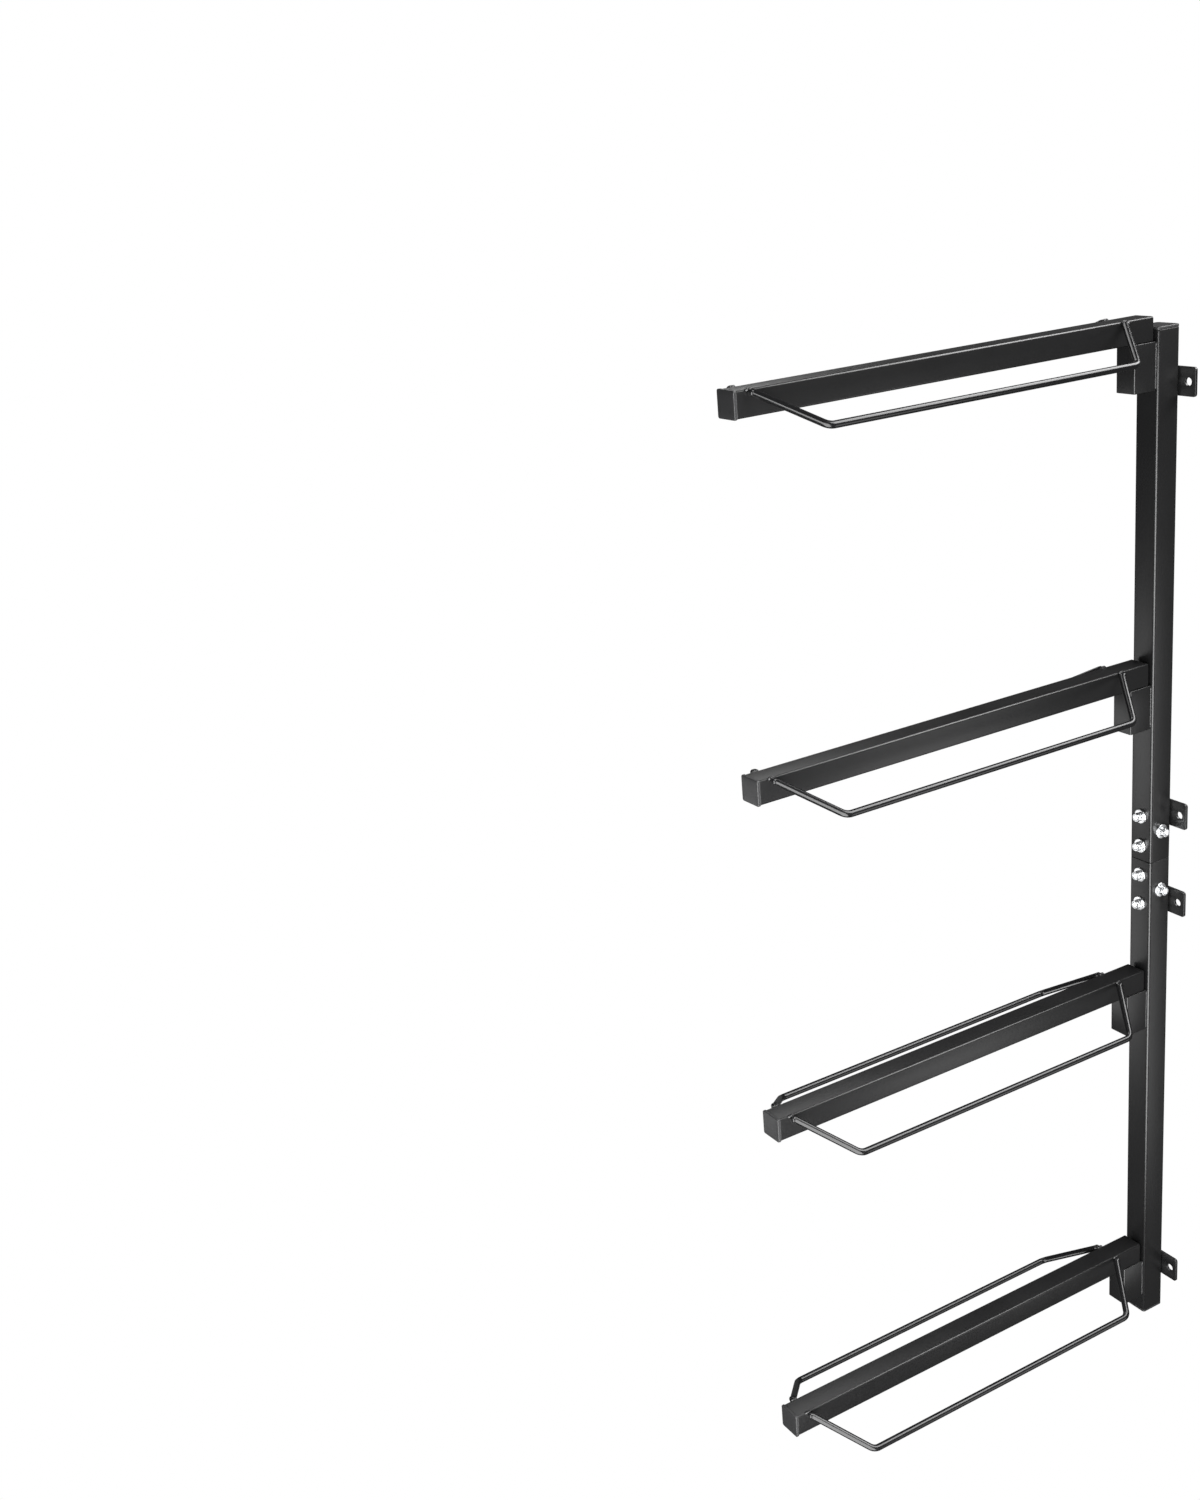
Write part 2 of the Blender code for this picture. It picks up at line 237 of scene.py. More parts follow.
# %% Effect: coat skin
def build_coat_skin():
    """A soft ripple with fine specks in it, as a height and as a mask."""
    group, entry, leave = new_group(
        "Coat skin", {"Ripple Size": 0.0016, "Speck Size": 0.0005, "Speck Share": 0.35}, ["Height", "Mask"]
    )
    place = add(group, "ShaderNodeTexCoord")
    ripple = add(group, "ShaderNodeTexNoise", Detail=2.0, Roughness=0.45)
    speck = add(group, "ShaderNodeTexVoronoi")
    for texture, size in ((ripple, "Ripple Size"), (speck, "Speck Size")):
        scale = math_node(group, "DIVIDE", 1.0, entry.outputs[size])
        group.links.new(scale, texture.inputs["Scale"])
        group.links.new(place.outputs["Object"], texture.inputs["Vector"])
    specks = math_node(group, "MULTIPLY", speck.outputs["Distance"], entry.outputs["Speck Share"])
    height = math_node(group, "ADD", ripple.outputs["Fac"], specks)
    group.links.new(height, leave.inputs["Height"])
    group.links.new(ripple.outputs["Fac"], leave.inputs["Mask"])
    return group


coat_skin = build_coat_skin()
print(coat_skin.name, "gives", [s.name for s in coat_skin.interface.items_tree if s.in_out == "OUTPUT"])


# %% Effect: edge rub
RUB_PATCHES_PER_METRE = 38.0


def build_edge_rub():
    """A mask of outward corners, broken into patches."""
    group, entry, leave = new_group("Edge rub", {"Start": 0.53, "Softness": 0.10, "Breakup": 0.6}, ["Mask"])
    place = add(group, "ShaderNodeTexCoord")
    shape = add(group, "ShaderNodeNewGeometry")
    patches = add(group, "ShaderNodeTexNoise", Scale=RUB_PATCHES_PER_METRE, Detail=4.0)
    group.links.new(place.outputs["Object"], patches.inputs["Vector"])
    above = math_node(group, "SUBTRACT", shape.outputs["Pointiness"], entry.outputs["Start"])
    ramp = math_node(group, "DIVIDE", above, entry.outputs["Softness"])
    uneven = math_node(group, "MULTIPLY", patches.outputs["Fac"], entry.outputs["Breakup"])
    kept = math_node(group, "SUBTRACT", 1.0, uneven)
    mask = add(group, "ShaderNodeClamp")
    group.links.new(math_node(group, "MULTIPLY", ramp, kept), mask.inputs["Value"])
    group.links.new(mask.outputs["Result"], leave.inputs["Mask"])
    return group


edge_rub = build_edge_rub()
print(edge_rub.name, "takes", [s.name for s in edge_rub.interface.items_tree if s.in_out == "INPUT"])

# %% [markdown]
# Dust settles on faces that look up. "Settled dust" turns the surface normal's upward share and
# a large noise into one mask, which lightens the colour a little and roughens it.


# %% Effect: settled dust
DUSTLESS_SLOPE = -0.4


def build_settled_dust():
    """A mask of faces that look up, uneven over a few centimetres."""
    group, entry, leave = new_group("Settled dust", {"Patch Size": 0.06, "Amount": 0.5}, ["Mask"])
    place = add(group, "ShaderNodeTexCoord")
    shape = add(group, "ShaderNodeNewGeometry")
    axes = add(group, "ShaderNodeSeparateXYZ")
    cloud = add(group, "ShaderNodeTexNoise", Detail=5.0, Roughness=0.6)
    scale = math_node(group, "DIVIDE", 1.0, entry.outputs["Patch Size"])
    group.links.new(scale, cloud.inputs["Scale"])
    group.links.new(place.outputs["Object"], cloud.inputs["Vector"])
    group.links.new(shape.outputs["Normal"], axes.inputs["Vector"])
    upward = add(group, "ShaderNodeMapRange")
    upward.inputs["From Min"].default_value = DUSTLESS_SLOPE
    group.links.new(axes.outputs["Z"], upward.inputs["Value"])
    patchy = math_node(group, "MULTIPLY", cloud.outputs["Fac"], upward.outputs["Result"])
    group.links.new(math_node(group, "MULTIPLY", patchy, entry.outputs["Amount"]), leave.inputs["Mask"])
    return group


settled_dust = build_settled_dust()
print(settled_dust.name, "ready")

# %% [markdown]
# Powder coat is black paint baked to a semi-gloss skin. The colour barely changes; what tells
# it from plastic is the ripple in its reflections and the rubbed, shinier corners. The rods
# carry the same paint, but a round bar is drawn smooth, so their skin is flatter and glossier.


# %% Finish: painted steel
DUST_DULLS = 0.22
RIPPLE_DULLS = 0.08
RUB_SHINES = 0.14
COAT_RELIEF = 0.35


def painted(name, colour, dusty, roughness, ripple, bump, specular):
    """Black coat whose gloss and relief follow the skin, the dust and the rubbed corners."""
    material = bpy.data.materials.new(name)
    material.use_nodes = True
    tree = material.node_tree
    shader = tree.nodes["Principled BSDF"]
    shader.inputs["Specular IOR Level"].default_value = specular
    skin = add(tree, "ShaderNodeGroup", node_tree=coat_skin)
    skin.inputs["Ripple Size"].default_value = ripple
    dust = add(tree, "ShaderNodeGroup", node_tree=settled_dust)
    rub = add(tree, "ShaderNodeGroup", node_tree=edge_rub)
    tint = add(tree, "ShaderNodeMix", data_type="RGBA")
    tint.inputs["A"].default_value = (*colour, 1)
    tint.inputs["B"].default_value = (*dusty, 1)
    tree.links.new(dust.outputs["Mask"], tint.inputs["Factor"])
    tree.links.new(tint.outputs["Result"], shader.inputs["Base Color"])
    duller = math_node(tree, "MULTIPLY", dust.outputs["Mask"], DUST_DULLS)
    varied = math_node(tree, "MULTIPLY", skin.outputs["Mask"], RIPPLE_DULLS)
    rubbed = math_node(tree, "MULTIPLY", rub.outputs["Mask"], -RUB_SHINES)
    gloss = math_node(tree, "ADD", math_node(tree, "ADD", duller, varied), rubbed)
    tree.links.new(math_node(tree, "ADD", gloss, roughness), shader.inputs["Roughness"])
    relief = add(tree, "ShaderNodeBump", Strength=COAT_RELIEF, Distance=bump)
    tree.links.new(skin.outputs["Height"], relief.inputs["Height"])
    tree.links.new(relief.outputs["Normal"], shader.inputs["Normal"])
    return material


# Each call: name, colour, dusty colour, roughness, ripple size, bump distance, specular level.
coat = painted("powder_coat", (0.003, 0.003, 0.0031), (0.014, 0.014, 0.0145), 0.27, 0.0016, 0.00008, 0.36)
rod_coat = painted("rod_coat", (0.0035, 0.0035, 0.0037), (0.010, 0.010, 0.0105), 0.12, 0.0030, 0.00003, 0.27)
weld_coat = painted("weld_coat", (0.005, 0.005, 0.0052), (0.016, 0.016, 0.0165), 0.26, 0.0008, 0.00020, 0.45)
print("painted finishes:", coat.name, rod_coat.name, weld_coat.name)

# %% [markdown]
# The caps are moulded plastic. The mould was spark-eroded, which leaves a fine even grain, so
# the relief is much finer than the coat's ripple and the gloss is lower.


# %% Finish: moulded plastic
GRAIN_SIZE = 0.0004
GRAIN_PIT_SIZE = 0.00025
GRAIN_PIT_SHARE = 0.8
GRAIN_DEPTH = 0.00006
GRAIN_DULLS = 0.12
GRAIN_RELIEF = 0.4
PLASTIC_ROUGHNESS = 0.40
PLASTIC_SPECULAR = 0.4
SCUFF_BREAKUP = 0.9


def moulded(name, colour, scuffed):
    """Grained black plastic, a little paler where its corners are scuffed."""
    material = bpy.data.materials.new(name)
    material.use_nodes = True
    tree = material.node_tree
    shader = tree.nodes["Principled BSDF"]
    shader.inputs["Specular IOR Level"].default_value = PLASTIC_SPECULAR
    grain = add(tree, "ShaderNodeGroup", node_tree=coat_skin)
    grain.inputs["Ripple Size"].default_value = GRAIN_SIZE
    grain.inputs["Speck Size"].default_value = GRAIN_PIT_SIZE
    grain.inputs["Speck Share"].default_value = GRAIN_PIT_SHARE
    rub = add(tree, "ShaderNodeGroup", node_tree=edge_rub)
    rub.inputs["Breakup"].default_value = SCUFF_BREAKUP
    tint = add(tree, "ShaderNodeMix", data_type="RGBA")
    tint.inputs["A"].default_value = (*colour, 1)
    tint.inputs["B"].default_value = (*scuffed, 1)
    tree.links.new(rub.outputs["Mask"], tint.inputs["Factor"])
    tree.links.new(tint.outputs["Result"], shader.inputs["Base Color"])
    sheen = math_node(tree, "MULTIPLY", grain.outputs["Mask"], GRAIN_DULLS)
    tree.links.new(math_node(tree, "ADD", sheen, PLASTIC_ROUGHNESS), shader.inputs["Roughness"])
    relief = add(tree, "ShaderNodeBump", Strength=GRAIN_RELIEF, Distance=GRAIN_DEPTH)
    tree.links.new(grain.outputs["Height"], relief.inputs["Height"])
    tree.links.new(relief.outputs["Normal"], shader.inputs["Normal"])
    return material


plastic = moulded("cap_plastic", (0.010, 0.010, 0.0105), (0.035, 0.035, 0.036))
print("moulded finish:", plastic.name)

# %% [markdown]
# Screws and washers are zinc plated. Plating follows the turned or pressed metal, so its gloss
# changes in small soft clouds. A second noise, stretched across the part, gives the faint
# drawn lines of the metal below.


# %% Finish: zinc plate
CLOUDS_PER_METRE = 220.0
LINES_PER_METRE = (2600.0, 260.0, 2600.0)
LINE_DEPTH = 0.00002
LINE_RELIEF = 0.2
CLOUD_DULLS = 0.10


def plated(name, bright, dull, roughness):
    """Bright plating: two tints mixed in clouds, and the gloss of the brighter one."""
    material = bpy.data.materials.new(name)
    material.use_nodes = True
    tree = material.node_tree
    shader = tree.nodes["Principled BSDF"]
    shader.inputs["Metallic"].default_value = 1.0
    place = add(tree, "ShaderNodeTexCoord")
    cloud = add(tree, "ShaderNodeTexNoise", Scale=CLOUDS_PER_METRE, Detail=3.0)
    stretch = add(tree, "ShaderNodeMapping", Scale=LINES_PER_METRE)
    lines = add(tree, "ShaderNodeTexNoise", Scale=1.0, Detail=2.0)
    tree.links.new(place.outputs["Object"], cloud.inputs["Vector"])
    tree.links.new(place.outputs["Object"], stretch.inputs["Vector"])
    tree.links.new(stretch.outputs["Vector"], lines.inputs["Vector"])
    tint = add(tree, "ShaderNodeMix", data_type="RGBA")
    tint.inputs["A"].default_value = (*bright, 1)
    tint.inputs["B"].default_value = (*dull, 1)
    tree.links.new(cloud.outputs["Fac"], tint.inputs["Factor"])
    tree.links.new(tint.outputs["Result"], shader.inputs["Base Color"])
    uneven = math_node(tree, "MULTIPLY", cloud.outputs["Fac"], CLOUD_DULLS)
    tree.links.new(math_node(tree, "ADD", uneven, roughness), shader.inputs["Roughness"])
    relief = add(tree, "ShaderNodeBump", Strength=LINE_RELIEF, Distance=LINE_DEPTH)
    tree.links.new(lines.outputs["Fac"], relief.inputs["Height"])
    tree.links.new(relief.outputs["Normal"], shader.inputs["Normal"])
    return material


zinc = plated("zinc", (0.76, 0.77, 0.78), (0.60, 0.61, 0.62), 0.24)
print("plated finish:", zinc.name)

# %% [markdown]
# Most pieces are a row of closed outlines joined by skin: a tube is an outer and an inner
# outline, a cap is a flange and a skirt, a screw is a set of circles. One function joins the
# rows; small outline functions give squares with rounded corners, circles and hexagons.

# %% Outlines and skin
CORNER_STEPS = 8
ROUND_STEPS = 72
SHARP_ANGLE = radians(38)


def square_outline(width, depth, corner, height):
    """A rectangle with rounded corners, centred on Z."""
    points = []
    for quarter in range(4):
        right = 1 if quarter in (0, 3) else -1
        back = 1 if quarter in (0, 1) else -1
        centre = Vector((right * (width / 2 - corner), back * (depth / 2 - corner), height))
        for step in range(CORNER_STEPS + 1):
            angle = (quarter + step / CORNER_STEPS) * pi / 2
            points.append(centre + corner * Vector((cos(angle), sin(angle), 0)))
    return points


def round_outline(diameter, height):
    """A circle, centred on Z."""
    points = []
    for step in range(ROUND_STEPS):
        angle = 2 * pi * step / ROUND_STEPS
        points.append(Vector((diameter / 2 * cos(angle), diameter / 2 * sin(angle), height)))
    return points


def hex_outline(flats, height):
    """A hexagon with as many points as a circle, so that the two can be joined."""
    sector = pi / 3
    points = []
    for step in range(ROUND_STEPS):
        angle = 2 * pi * step / ROUND_STEPS
        reach = flats / 2 / cos(angle % sector - sector / 2)
        points.append(Vector((reach * cos(angle), reach * sin(angle), height)))
    return points


def skin(name, outlines, ring=False, turn=Matrix.Identity(4)):
    """Joins a row of outlines into one closed object. A ring's last outline meets its first."""
    shape = bmesh.new()
    rows = [[shape.verts.new(turn @ point) for point in outline] for outline in outlines]
    if ring:
        rows.append(rows[0])
    else:
        shape.faces.new(rows[0])
        shape.faces.new(rows[-1])
    for low, high in zip(rows, rows[1:]):
        for here in range(len(low)):
            there = (here + 1) % len(low)
            shape.faces.new((low[here], low[there], high[there], high[here]))
    bmesh.ops.recalc_face_normals(shape, faces=shape.faces)
    mesh = bpy.data.meshes.new(name)
    shape.to_mesh(mesh)
    shape.free()
    mesh.shade_smooth()
    mesh.set_sharp_from_angle(angle=SHARP_ANGLE)
    piece = bpy.data.objects.new(name, mesh)
    bpy.context.scene.collection.objects.link(piece)
    return piece


def finish_piece(piece, material, slot, *stands_for):
    """Gives a piece its finish and its body, and hides the solids that it stands for."""
    piece.data.materials.append(material)
    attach(piece, "root")
    if stands_for:
        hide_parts(*stands_for)
    return piece


def corners_of(node):
    """The low and high corners of a solid's box."""
    low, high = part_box(node)
    return Vector(low), Vector(high)


print("outline points:", 4 * (CORNER_STEPS + 1), "square,", ROUND_STEPS, "round")

# %% [markdown]
# A cut tube end is never razor sharp: the saw burr is filed off before coating, and the paint
# rounds it further. So each tube gets a tiny lip radius at both ends, which also makes the
# joint between the two post halves show as a fine dark line with a soft edge.

# %% Square tubes
LIP = 0.0005
LIP_STEPS = 3
POST_CORNER = 0.003
POST_WALL = 0.0015
ARM_CORNER = 0.002
ARM_WALL = 0.0015
STUB_CORNER = 0.0015
STUB_WALL = 0.0015
AXES = {
    "z": Matrix.Identity(4),
    "-y": Matrix.Rotation(radians(90), 4, "X"),
    "x": Matrix.Rotation(radians(90), 4, "Y"),
}


def tube(name, node, axis, corner, wall):
    """A square tube filling a solid's box along an axis, open at both ends."""
    low, high = corners_of(node)
    turn = Matrix.Translation((low + high) / 2) @ AXES[axis]
    spread = AXES[axis].to_3x3().inverted() @ (high - low)
    width, depth, length = (abs(side) for side in spread)
    outlines = []
    for end in (-1, 1):
        for step in range(LIP_STEPS + 1) if end > 0 else range(LIP_STEPS, -1, -1):
            angle = step * pi / 2 / LIP_STEPS
            inset = 2 * LIP * (1 - cos(angle))
            height = end * (length / 2 - LIP * (1 - sin(angle)))
            outlines.append(square_outline(width - inset, depth - inset, corner, height))
    inner = max(corner - wall, corner / 3)
    for end in (1, -1):
        outlines.append(square_outline(width - 2 * wall, depth - 2 * wall, inner, end * length / 2))
    return skin(name, outlines, ring=True, turn=turn)


for half in ("post_upper", "post_lower"):
    piece = tube(half + "_tube", half, "z", POST_CORNER, POST_WALL)
    finish_piece(piece, coat, "powder_coat", half)
    print(piece.name, len(piece.data.polygons), "faces")

for number in range(1, 5):
    arm = tube(f"arm_{number}", f"arm_tube_{number}", "-y", ARM_CORNER, ARM_WALL)
    finish_piece(arm, coat, "powder_coat", f"arm_tube_{number}")
    stub = tube(f"stub_{number}", f"arm_stub_{number}", "z", STUB_CORNER, STUB_WALL)
    finish_piece(stub, coat, "powder_coat", f"arm_stub_{number}")
print("arms and stubs ready")

# %% [markdown]
# Each tube end takes a push-in plug. Its flange is a hair wider than the tube, its face is
# slightly crowned so that it does not look sunk after cooling, and its edge is rounded. Rows of
# outlines that shrink and rise make the crown; the skirt inside the tube is hollow.

# %% End caps
CAP_CROWN = 0.0004
CAP_ROUND = 0.0007
CAP_ROUND_STEPS = 4
SKIRT_WALL = 0.0015
SKIRT_GAP = 0.0003
FACE_SHARES = (0.35, 0.7)


def end_cap(name, node, turn, corner, tube_wall, tube_width, flange_depth):
    """A crowned plug whose flange face looks along the turned Z."""
    low, high = corners_of(node)
    spread = turn.to_3x3().inverted() @ (high - low)
    flange = abs(spread.x)
    total = abs(spread.z)
    outlines = []
    for share in FACE_SHARES:
        face = (flange - 2 * CAP_ROUND) * share
        rise = CAP_CROWN * (1 - share * share)
        outlines.append(square_outline(face, face, corner * share, total / 2 - CAP_CROWN + rise))
    for step in range(CAP_ROUND_STEPS + 1):
        angle = pi / 2 * (1 - step / CAP_ROUND_STEPS)
        edge = flange - 2 * CAP_ROUND * (1 - cos(angle))
        height = total / 2 - CAP_CROWN - CAP_ROUND * (1 - sin(angle))
        outlines.append(square_outline(edge, edge, corner, height))
    shoulder = total / 2 - flange_depth + SKIRT_GAP
    skirt = tube_width - 2 * tube_wall - 2 * SKIRT_GAP
    hollow = skirt - 2 * SKIRT_WALL
    outlines.append(square_outline(flange, flange, corner, shoulder))
    outlines.append(square_outline(skirt, skirt, corner / 2, shoulder))
    outlines.append(square_outline(skirt, skirt, corner / 2, -total / 2))
    outlines.append(square_outline(hollow, hollow, corner / 3, -total / 2))
    outlines.append(square_outline(hollow, hollow, corner / 3, shoulder))
    return skin(name, outlines, turn=Matrix.Translation((low + high) / 2) @ turn)


CAP_FLANGE = 0.0035
post_low, post_high = corners_of("post_upper")
arm_low, arm_high = corners_of("arm_tube_1")
post_width = post_high.x - post_low.x
arm_width = arm_high.x - arm_low.x
flip = Matrix.Rotation(radians(180), 4, "X")
for node, turn in (("post_cap_top", AXES["z"]), ("post_cap_bottom", flip)):
    cap = end_cap(node + "_plug", node, turn, POST_CORNER, POST_WALL, post_width, CAP_FLANGE)
    finish_piece(cap, plastic, "cap_plastic", node)
for number in range(1, 5):
    node = f"arm_cap_{number}"
    cap = end_cap(node + "_plug", node, AXES["-y"], ARM_CORNER, ARM_WALL, arm_width, CAP_FLANGE)
    finish_piece(cap, plastic, "cap_plastic", node)
print("caps ready, post", round(post_width, 4), "arm", round(arm_width, 4))

# %% [markdown]
# A wing is one round bar with four bends. Its centreline is a few corner points, each replaced
# by an arc, and the bar is a circle carried along that line. The same sweep with a swelling
# radius makes weld beads, whose ripples come from the pulse of the welding torch.

# %% Sweeps along a bent line
ROD_SIDES = 24


def bend(path, radii, steps=10):
    """Replaces each inner corner of a path by an arc."""
    points = [path[0]]
    for before, corner, after, radius in zip(path, path[1:], path[2:], radii):
        back = (before - corner).normalized()
        on = (after - corner).normalized()
        opening = back.angle(on)
        start = corner + back * radius / tan(opening / 2)
        centre = corner + (back + on).normalized() * radius / sin(opening / 2)
        for step in range(steps + 1):
            turn = Matrix.Rotation((pi - opening) * step / steps, 3, on.cross(back))
            points.append(centre + turn @ (start - centre))
    points.append(path[-1])
    return points


def sweep(name, path, radii, sides):
    """A round body along a path, with one radius for each point."""
    last = len(path) - 1
    tangents = [(path[min(i + 1, last)] - path[max(i - 1, 0)]).normalized() for i in range(last + 1)]
    across = tangents[0].orthogonal().normalized()
    outlines = []
    for centre, tangent, radius in zip(path, tangents, radii):
        across = (across - across.dot(tangent) * tangent).normalized()
        other = tangent.cross(across)
        turn = 2 * pi / sides
        ring = [centre + radius * (cos(turn * i) * across + sin(turn * i) * other) for i in range(sides)]
        outlines.append(ring)
    return skin(name, outlines)


print("sweeps use", ROD_SIDES, "sides")

# %% Wing rods
ROD_DIAMETER = 0.007
ROD_GAP = 0.0003
ROD_END_ROUND = 0.0022
ROD_END_STEPS = 4
FOOT_LENGTH = 0.004
FOOT_BEND = 0.0035
WING_BEND = 0.011
WING_TIP_SETBACK = 0.0425
WING_ROOT_SETBACK = 0.0360


def wing_corners(node, side):
    """The six corner points of a wing's centreline, read from its solid's box."""
    low, high = corners_of(node)
    radius = ROD_DIAMETER / 2
    beside = side * (arm_width / 2 + ROD_GAP + radius)
    outer = side * (max(abs(low.x), abs(high.x)) - radius)
    foot_z = high.z - radius
    wing_z = low.z + radius
    tip = low.y + FOOT_LENGTH
    root = high.y - FOOT_LENGTH
    return [
        Vector((beside, low.y, foot_z)),
        Vector((beside, tip, foot_z)),
        Vector((outer, tip + WING_TIP_SETBACK, wing_z)),
        Vector((outer, root - WING_ROOT_SETBACK, wing_z)),
        Vector((beside, root, foot_z)),
        Vector((beside, high.y, foot_z)),
    ]


def wing_rod(name, node, side):
    """The bent bar, with both of its ends rounded over a few short steps."""
    path = bend(wing_corners(node, side), (FOOT_BEND, WING_BEND, WING_BEND, FOOT_BEND))
    radius = ROD_DIAMETER / 2
    start = []
    end = []
    start_radii = []
    for step in range(ROD_END_STEPS):
        angle = pi / 2 * step / ROD_END_STEPS
        setback = ROD_END_ROUND * (1 - cos(angle))
        start.append(path[0] + (path[1] - path[0]).normalized() * setback)
        end.append(path[-1] + (path[-2] - path[-1]).normalized() * setback)
        start_radii.append(radius - ROD_END_ROUND * (1 - sin(angle)))
    middle = path[1:-1]
    radii = start_radii + [radius] * len(middle) + start_radii[::-1]
    return sweep(name, start + middle + end[::-1], radii, ROD_SIDES)


for number in range(1, 5):
    for label, side in (("left", -1), ("right", 1)):
        node = f"wing_rod_{label}_{number}"
        rod = wing_rod(f"wing_{label}_{number}", node, side)
        finish_piece(rod, rod_coat, "rod_coat", node)
print("8 wing rods,", ROD_DIAMETER * 1000, "mm bar")

# %% [markdown]
# Short weld beads hold the rod ends to the arms and the stubs to the post. A bead is a sweep
# whose radius fades at both ends and pulses along its length, with a little wander from a noise
# so that no two are alike. Half of it lies inside the metal that it joins. Blender seeds this
# noise from the clock, so a fixed seed comes first, and every run draws the same beads.

# %% Weld beads
BEAD_SIDES = 14
BEAD_STEP = 0.0004
PULSE_LENGTH = 0.0014
PULSE_SHARE = 0.10
WANDERS_PER_METRE = 260.0
WANDER_SHARE = 0.16
END_SHARE = 0.12
BEAD_SEED = 3
noise.seed_set(BEAD_SEED)


def weld_bead(name, start, end, radius):
    """A rippled bead from start to end."""
    length = (end - start).length
    count = max(8, round(length / BEAD_STEP))
    path = []
    radii = []
    for step in range(count + 1):
        share = step / count
        spot = start.lerp(end, share)
        wander = noise.noise_vector(spot * WANDERS_PER_METRE) * radius * WANDER_SHARE
        fade = min(1.0, min(share, 1 - share) * length / radius + END_SHARE) ** 0.5
        pulse = 1 + PULSE_SHARE * sin(2 * pi * share * length / PULSE_LENGTH)
        path.append(spot + wander)
        radii.append(radius * fade * pulse)
    bead = sweep(name, path, radii, BEAD_SIDES)
    return finish_piece(bead, weld_coat, "powder_coat")


FOOT_BEAD = 0.0017
FOOT_BEAD_REACH = 0.0016
FOOT_BEAD_SINK = 0.25
STUB_BEAD = 0.0013
bead_count = 0
for number in range(1, 5):
    arm_low, arm_high = corners_of(f"arm_tube_{number}")
    for label, side in (("left", -1), ("right", 1)):
        corners = wing_corners(f"wing_rod_{label}_{number}", side)
        for place, outer, inner in (("tip", corners[0], corners[1]), ("root", corners[5], corners[4])):
            lift = Vector((side * (arm_width / 2 + ROD_GAP / 2), 0, arm_high.z - FOOT_BEAD * FOOT_BEAD_SINK))
            along = (inner - outer).normalized() * FOOT_BEAD_REACH
            start = Vector((lift.x, outer.y - along.y, lift.z))
            end = Vector((lift.x, inner.y + along.y, lift.z))
            weld_bead(f"weld_foot_{label}_{place}_{number}", start, end, FOOT_BEAD)
            bead_count += 1
    stub_low, stub_high = corners_of(f"arm_stub_{number}")
    for label, x in (("left", stub_low.x + STUB_CORNER / 2), ("right", stub_high.x - STUB_CORNER / 2)):
        top = Vector((x, stub_high.y, stub_high.z - STUB_CORNER))
        bottom = Vector((x, stub_high.y, stub_low.z + STUB_CORNER))
        weld_bead(f"weld_stub_{label}_{number}", bottom, top, STUB_BEAD)
        bead_count += 1
print(bead_count, "weld beads")

# %% [markdown]
# The wall plates are cut from flat strip: a rounded outline with two screw holes. A flat curve
# is the quickest way to draw that. Its outer spline and the circles fill as one sheet with
# holes, extruding gives the thickness, and a small bevel breaks the edges.

# %% Wall plates
PLATE_CORNER = 0.003
PLATE_HOLE = 0.0085
PLATE_HOLE_SPACING = 0.053
PLATE_EDGE = 0.0004
PLATE_EDGE_STEPS = 2
MERGE_DISTANCE = 0.00001


def flat_spline(curve, points):
    """Adds one closed outline to a flat curve."""
    spline = curve.splines.new("POLY")
    spline.points.add(len(points) - 1)
    for spot, point in zip(spline.points, points):
        spot.co = (point.x, point.y, 0, 1)
    spline.use_cyclic_u = True


def wall_plate(name, node):
    """A plate drawn flat as a filled curve, made solid, then stood upright in its solid's box."""
    low, high = corners_of(node)
    size = high - low
    curve = bpy.data.curves.new(name, "CURVE")
    curve.dimensions = "2D"
    curve.fill_mode = "BOTH"
    edge = 2 * PLATE_EDGE
    flat_spline(curve, square_outline(size.x - edge, size.z - edge, PLATE_CORNER - PLATE_EDGE, 0))
    for side in (-1, 1):
        centre = Vector((side * PLATE_HOLE_SPACING / 2, 0, 0))
        flat_spline(curve, [centre + point for point in round_outline(PLATE_HOLE + edge, 0)])
    curve.extrude = size.y / 2 - PLATE_EDGE
    curve.bevel_depth = PLATE_EDGE
    curve.bevel_resolution = PLATE_EDGE_STEPS
    drawn = bpy.data.objects.new(name, curve)
    bpy.context.scene.collection.objects.link(drawn)
    mesh = bpy.data.meshes.new_from_object(drawn.evaluated_get(bpy.context.evaluated_depsgraph_get()))
    bpy.data.objects.remove(drawn)
    mesh.transform(Matrix.Translation((low + high) / 2) @ AXES["-y"])
    shape = bmesh.new()
    shape.from_mesh(mesh)
    bmesh.ops.remove_doubles(shape, verts=shape.verts, dist=MERGE_DISTANCE)
    bmesh.ops.recalc_face_normals(shape, faces=shape.faces)
    shape.to_mesh(mesh)
    shape.free()
    mesh.shade_smooth()
    mesh.set_sharp_from_angle(angle=SHARP_ANGLE)
    plate = bpy.data.objects.new(name, mesh)
    bpy.context.scene.collection.objects.link(plate)
    return finish_piece(plate, coat, "powder_coat", node)


for number in range(1, 5):
    plate = wall_plate(f"plate_{number}", f"wall_plate_{number}")
    print(plate.name, len(plate.data.polygons), "faces")

# %% [markdown]
# The joint is held by socket-head screws with flat washers. A knurled head is a ring whose
# every other point steps inward. The socket is a hexagon sunk into the crown, with a flat
# bottom, dark because little light reaches it.

# %% Screws and washers
HEAD_DIAMETER = 0.010
HEAD_HEIGHT = 0.006
HEAD_ROUND = 0.0007
KNURL_DEPTH = 0.00012
KNURL_MARGIN = 0.0009
SHANK_DIAMETER = 0.006
SHANK_LENGTH = 0.014
SHANK_CHAMFER = 0.0006
SOCKET_FLATS = 0.005
SOCKET_DEPTH = 0.003
SOCKET_RIM = 0.0003
HEX_CORNERS_TO_FLATS = 1.16
WASHER_DIAMETER = 0.016
WASHER_THICKNESS = 0.0016
WASHER_ROUND = 0.0004
WASHER_ROUND_STEPS = 3


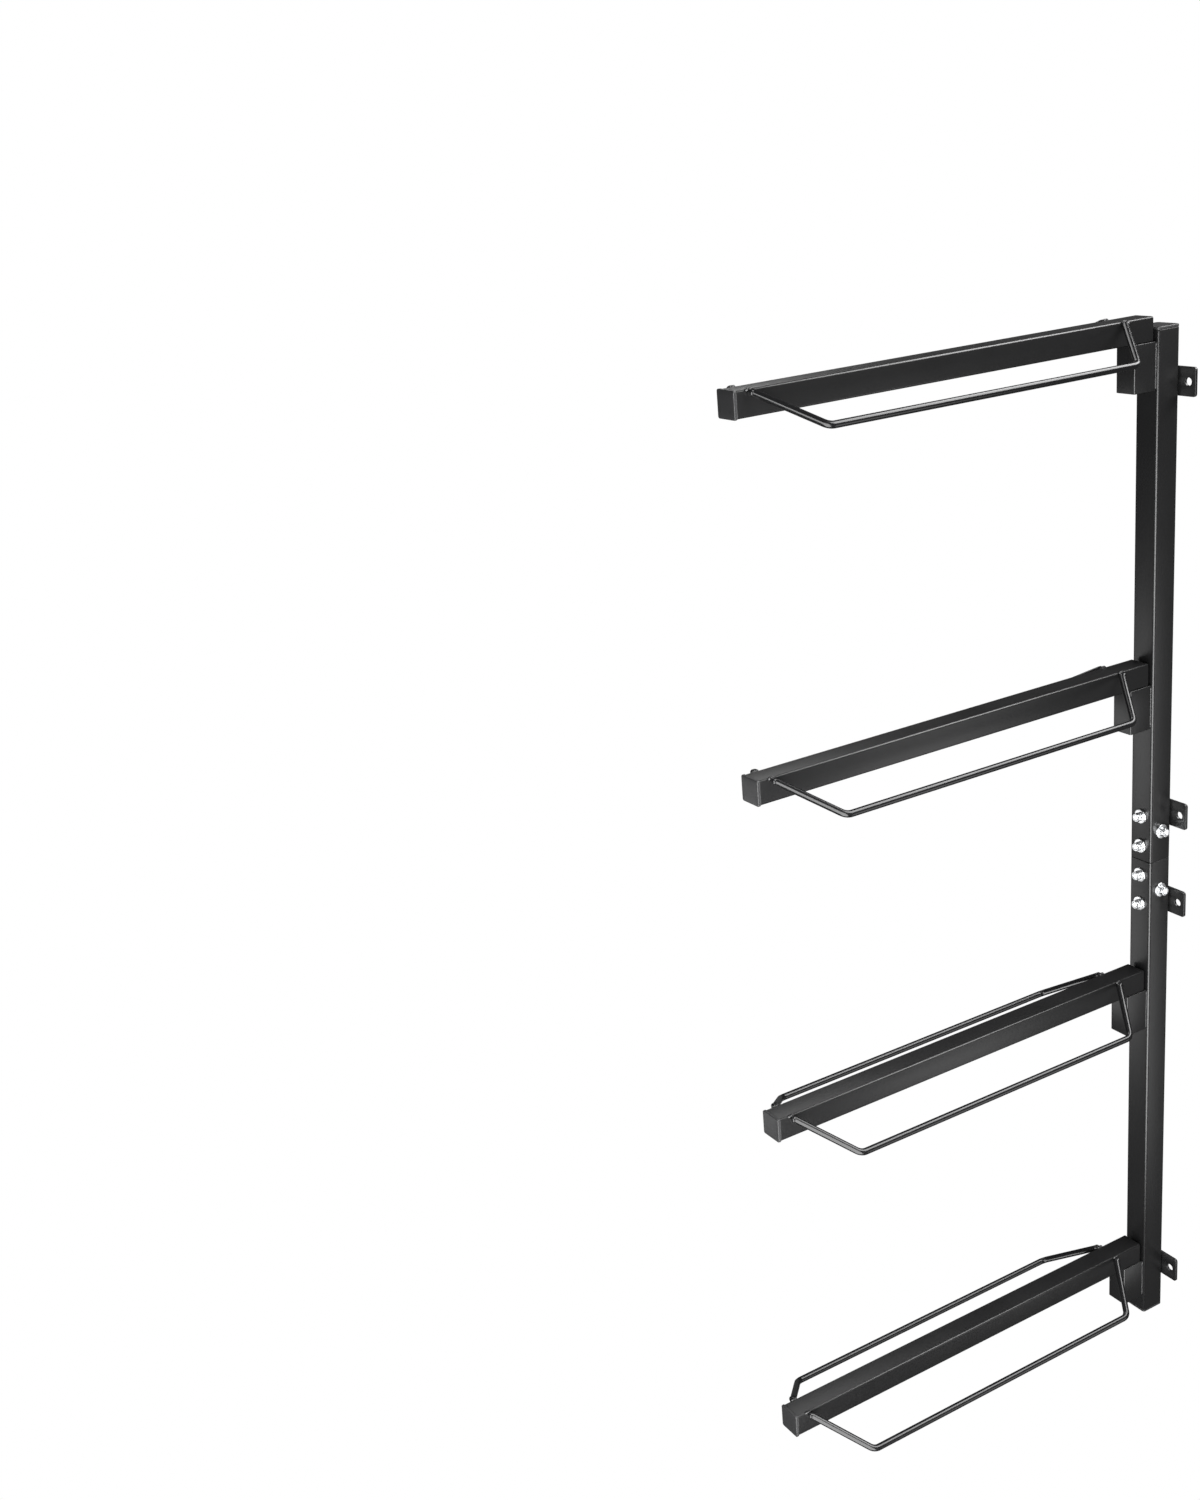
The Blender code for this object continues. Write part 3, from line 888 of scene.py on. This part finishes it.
def knurled(diameter, height):
    """A circle whose points step in and out in pairs."""
    crests = round_outline(diameter, height)
    grooves = round_outline(diameter - 2 * KNURL_DEPTH, height)
    return [crest if step % 4 < 2 else groove for step, (crest, groove) in enumerate(zip(crests, grooves))]


def screw(name, turn):
    """A socket-head screw from the socket's floor, over the knurled head, to the shank's end."""
    crown = HEAD_HEIGHT - HEAD_ROUND
    outlines = [
        hex_outline(SOCKET_FLATS, HEAD_HEIGHT - SOCKET_DEPTH),
        hex_outline(SOCKET_FLATS, HEAD_HEIGHT - SOCKET_RIM),
        round_outline(SOCKET_FLATS * HEX_CORNERS_TO_FLATS + 2 * SOCKET_RIM, HEAD_HEIGHT),
        round_outline(HEAD_DIAMETER - 2 * HEAD_ROUND, HEAD_HEIGHT),
        round_outline(HEAD_DIAMETER - 0.6 * HEAD_ROUND, HEAD_HEIGHT - 0.3 * HEAD_ROUND),
        round_outline(HEAD_DIAMETER, crown),
        knurled(HEAD_DIAMETER, crown - KNURL_DEPTH),
        knurled(HEAD_DIAMETER, KNURL_MARGIN + KNURL_DEPTH),
        round_outline(HEAD_DIAMETER, KNURL_MARGIN),
        round_outline(HEAD_DIAMETER, 0),
        round_outline(SHANK_DIAMETER, 0),
        round_outline(SHANK_DIAMETER, SHANK_CHAMFER - SHANK_LENGTH),
        round_outline(SHANK_DIAMETER - 2 * SHANK_CHAMFER, -SHANK_LENGTH),
    ]
    return skin(name, outlines, turn=turn)


def washer(name, turn):
    """A flat ring whose outer top edge is rounded, as a punched and tumbled washer's is."""
    bore = SHANK_DIAMETER + 2 * ROD_GAP
    outlines = []
    for step in range(WASHER_ROUND_STEPS + 1):
        angle = step * pi / 2 / WASHER_ROUND_STEPS
        rim = WASHER_DIAMETER - 2 * WASHER_ROUND * (1 - cos(angle))
        outlines.append(round_outline(rim, WASHER_THICKNESS - WASHER_ROUND * (1 - sin(angle))))
    outlines.append(round_outline(bore + WASHER_ROUND, WASHER_THICKNESS))
    outlines.append(round_outline(bore, WASHER_THICKNESS - WASHER_ROUND / 2))
    outlines.append(round_outline(bore, 0))
    outlines.append(round_outline(WASHER_DIAMETER, 0))
    return skin(name, outlines, ring=True, turn=turn)


def seat_of(node, axis):
    """The centre of a solid's face that lies against the post, and the turn to its axis."""
    low, high = corners_of(node)
    centre = (low + high) / 2
    if axis == "-y":
        centre.y = high.y
    else:
        centre.x = low.x
    return Matrix.Translation(centre) @ AXES[axis]


stations = [(f"front_{i}", "-y") for i in range(1, 5)] + [(f"side_{i}", "x") for i in range(1, 3)]
for label, axis in stations:
    washer_seat = seat_of("joint_washer_" + label, axis)
    ring = washer("washer_" + label, washer_seat)
    finish_piece(ring, zinc, "zinc", "joint_washer_" + label)
    head_seat = washer_seat @ Matrix.Translation((0, 0, WASHER_THICKNESS + ROD_GAP))
    bolt = screw("screw_" + label, head_seat)
    finish_piece(bolt, zinc, "zinc", "joint_bolt_" + label)
print(len(stations), "screws with washers")

# %% [markdown]
# The sleeve and the nuts stay hidden inside the post. They keep their solid shapes and take the
# same two finishes, so that a cutaway view shows painted steel and plated nuts.

# %% Inner pieces keep their solids
inner = {"joint_sleeve": coat, **{"joint_nut_" + label: zinc for label, axis in stations}}
for name, material in inner.items():
    mesh = nodes[name].data
    mesh.materials.clear()
    mesh.materials.append(material)
print(len(inner), "inner pieces finished")
